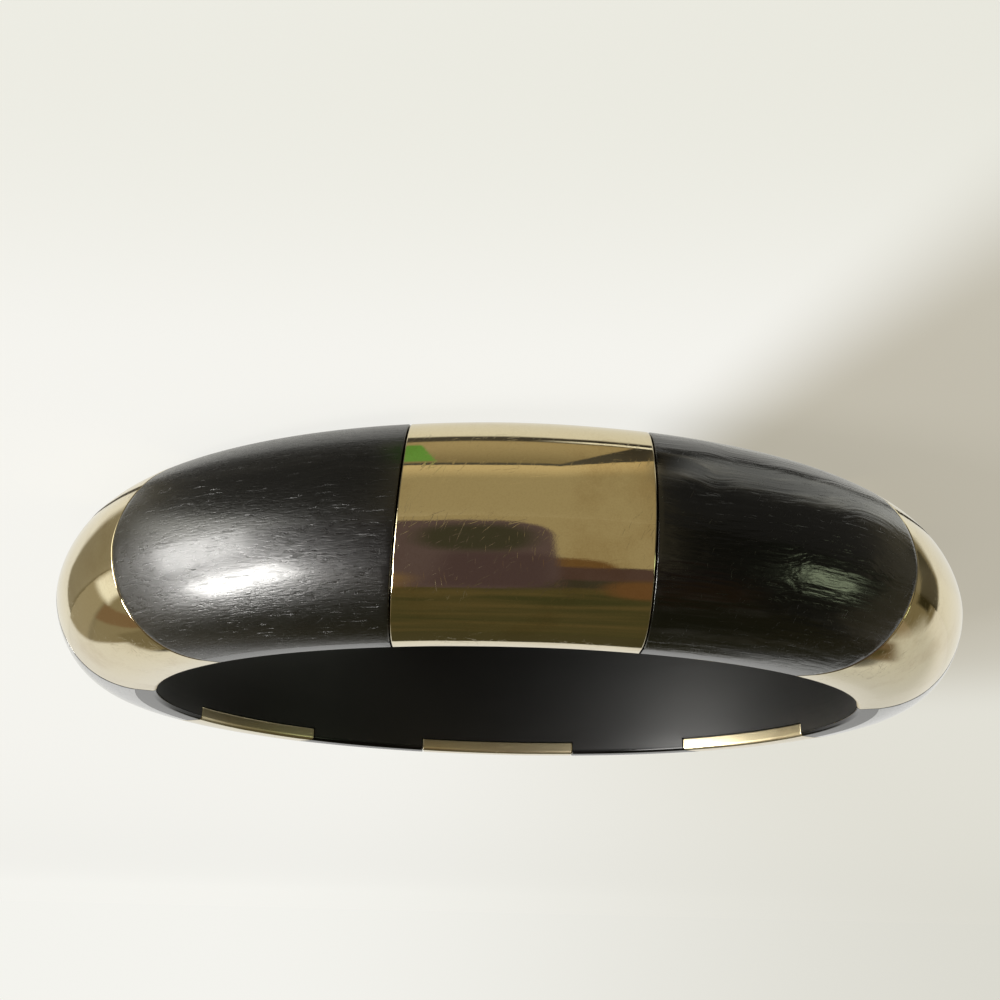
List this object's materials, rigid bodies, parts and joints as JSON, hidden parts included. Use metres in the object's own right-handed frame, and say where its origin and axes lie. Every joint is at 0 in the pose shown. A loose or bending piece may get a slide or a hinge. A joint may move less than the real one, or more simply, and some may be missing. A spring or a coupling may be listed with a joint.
{
  "type": "bangle bracelet",
  "caption": "Rigid closed bangle with a domed band of black horn staves alternating with polished brass strips folded over the rims, on a black bore liner.",
  "frame": {"origin": "centre of the ring at the rim it lies on", "axes": "+Z along the ring axis, up; -Y towards the middle of brass_strip_1"},
  "size_m": [0.084, 0.084, 0.0162],
  "materials": {
    "black_liner": "black satin",
    "polished_brass": "hand-polished, finely scratched",
    "backing_wood": "plain, hidden",
    "black_horn": "polished horn with fine turning lines"
  },
  "bodies": {
    "root": {"bore_liner": "black_liner", "brass_strip_1": "polished_brass", "brass_strip_2": "polished_brass", "brass_strip_3": "polished_brass", "brass_strip_4": "polished_brass", "brass_strip_5": "polished_brass", "brass_strip_6": "polished_brass", "strip_block_1": "backing_wood", "strip_block_2": "backing_wood", "strip_block_3": "backing_wood", "strip_block_4": "backing_wood", "strip_block_5": "backing_wood", "strip_block_6": "backing_wood", "horn_stave_1": "black_horn", "horn_stave_2": "black_horn", "horn_stave_3": "black_horn", "horn_stave_4": "black_horn", "horn_stave_5": "black_horn", "horn_stave_6": "black_horn"}
  },
  "joints": []
}
